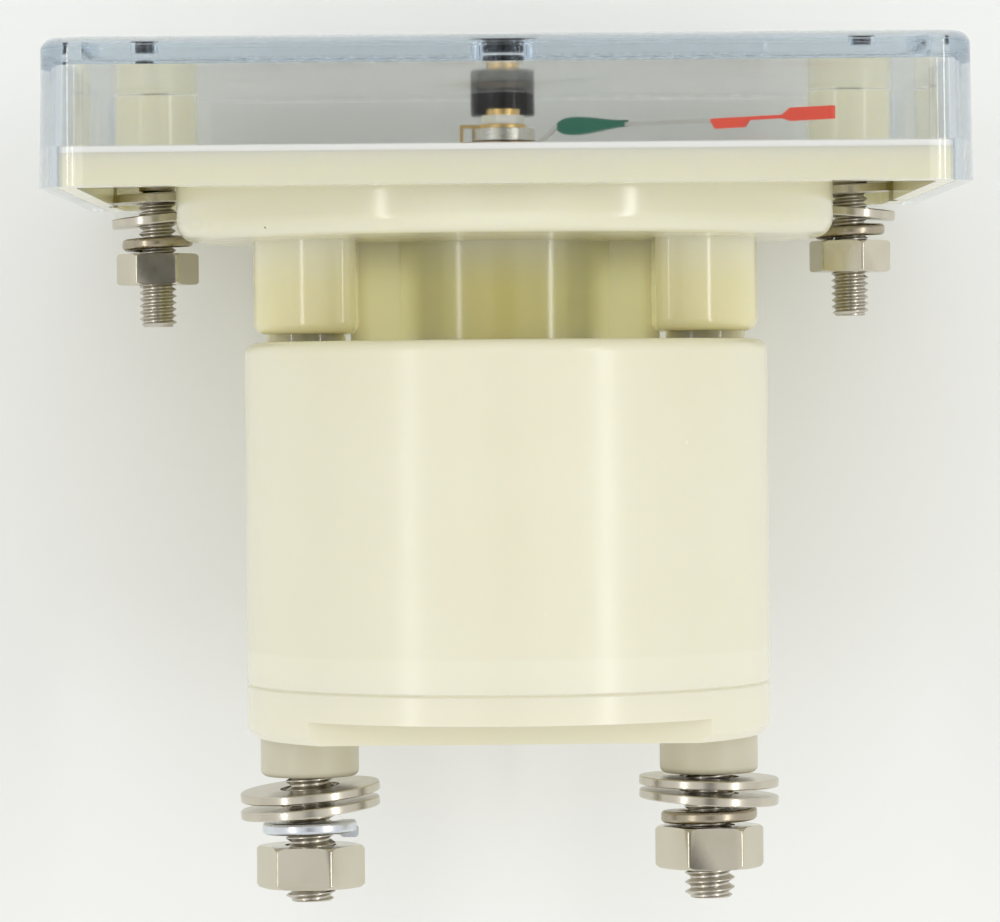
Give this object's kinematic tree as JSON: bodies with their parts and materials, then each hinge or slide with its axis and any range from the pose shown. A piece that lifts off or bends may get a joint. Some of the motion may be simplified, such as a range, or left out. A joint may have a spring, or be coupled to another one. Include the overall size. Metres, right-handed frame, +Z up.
{
  "type": "analog panel meter",
  "caption": "Moving-coil panel meter with a clear rectangular cover, round rear cap, threaded mounting studs and rear screw terminals.",
  "frame": {"origin": "centre of the round boss on the panel plane, at the rear edge of the cover's rim", "axes": "+X to the viewer's right facing the dial, +Y rearwards through the panel, +Z up"},
  "size_m": [0.0644, 0.062, 0.056],
  "materials": {
    "clear_cover": "clear, polished",
    "cream_base": "satin",
    "cream_cap": "satin",
    "cream_plate": "satin",
    "black_plastic": "satin",
    "nylon": "matte",
    "nickel": "nickel plated, worn",
    "zinc": "zinc plated",
    "stud_steel": "nickel plated",
    "brass": "bright",
    "silver": "satin",
    "dial_white": "matte white",
    "iron": "dull",
    "copper_wire": "enamelled wire",
    "aluminium": "satin",
    "pointer_metal": "satin with a red tip",
    "green_lacquer": "lacquer",
    "spring_bronze": "bright"
  },
  "bodies": {
    "case": {"front_cover": "clear_cover", "base_housing": "cream_base", "rear_cap": "cream_cap", "rear_end_plate": "cream_plate", "dial_plate": "dial_white", "core_magnet": "iron", "yoke_ring": "iron", "core_spacer_upper": "brass", "core_spacer_lower": "brass", "movement_frame": "silver", "front_bridge": "silver", "rear_bridge": "silver", "front_jewel_screw": "brass", "rear_jewel_screw": "brass", "jewel_lock_nut": "silver", "front_hairspring": "spring_bronze", "rear_hairspring": "spring_bronze", "terminal_bush_left": "nylon", "terminal_stud_left": "stud_steel", "terminal_tag_left": "brass", "terminal_washer_inner_left": "nickel", "terminal_washer_outer_left": "nickel", "terminal_spring_washer_left": "zinc", "mounting_stud_left": "stud_steel", "mounting_washer_inner_left": "nickel", "mounting_washer_outer_left": "nickel", "mounting_spring_washer_left": "zinc", "dial_screw_left": "stud_steel", "frame_screw_left": "stud_steel", "terminal_bush_right": "nylon", "terminal_stud_right": "stud_steel", "terminal_tag_right": "brass", "terminal_washer_inner_right": "nickel", "terminal_washer_outer_right": "nickel", "terminal_spring_washer_right": "zinc", "mounting_stud_right": "stud_steel", "mounting_washer_inner_right": "nickel", "mounting_washer_outer_right": "nickel", "mounting_spring_washer_right": "zinc", "dial_screw_right": "stud_steel", "frame_screw_right": "stud_steel"},
    "moving_coil": {"coil_former": "aluminium", "coil_winding": "copper_wire", "front_staff": "stud_steel", "rear_staff": "stud_steel", "balance_cross": "brass", "pointer": "pointer_metal", "pointer_leaf": "green_lacquer"},
    "adjuster": {"zero_adjuster": "black_plastic", "adjuster_cam": "black_plastic"},
    "lever": {"zero_lever": "brass"},
    "mounting_nut_left": {"mounting_nut_left": "nickel"},
    "mounting_nut_right": {"mounting_nut_right": "nickel"},
    "terminal_nut_left": {"terminal_nut_left": "nickel"},
    "terminal_nut_right": {"terminal_nut_right": "nickel"}
  },
  "joints": [
    {"name": "pointer_swing", "type": "hinge", "parent": "case", "child": "moving_coil", "pos_m": [0, 0, -0.0098], "axis": [0, 1, 0], "range_deg": [-3, 93], "stiffness_Nm_per_rad": 0.00002},
    {"name": "adjuster_turn", "type": "hinge", "parent": "case", "child": "adjuster", "pos_m": [0, 0, -0.016], "axis": [0, 1, 0], "range_deg": [-60, 60]},
    {"name": "lever_shift", "type": "hinge", "parent": "case", "child": "lever", "pos_m": [0, 0, -0.0098], "axis": [0, 1, 0], "range_deg": [-6, 6]},
    {"name": "mounting_nut_left_off", "type": "slide", "parent": "case", "child": "mounting_nut_left", "axis": [0, 1, 0], "range_m": [0, 0.0061]},
    {"name": "mounting_nut_right_off", "type": "slide", "parent": "case", "child": "mounting_nut_right", "axis": [0, 1, 0], "range_m": [0, 0.0059]},
    {"name": "terminal_nut_left_off", "type": "slide", "parent": "case", "child": "terminal_nut_left", "axis": [0, 1, 0], "range_m": [0, 0.0056]},
    {"name": "terminal_nut_right_off", "type": "slide", "parent": "case", "child": "terminal_nut_right", "axis": [0, 1, 0], "range_m": [0, 0.0044]}
  ],
  "couplings": [
    {"joint": "lever_shift", "follows": "adjuster_turn", "ratio": -0.0955}
  ]
}
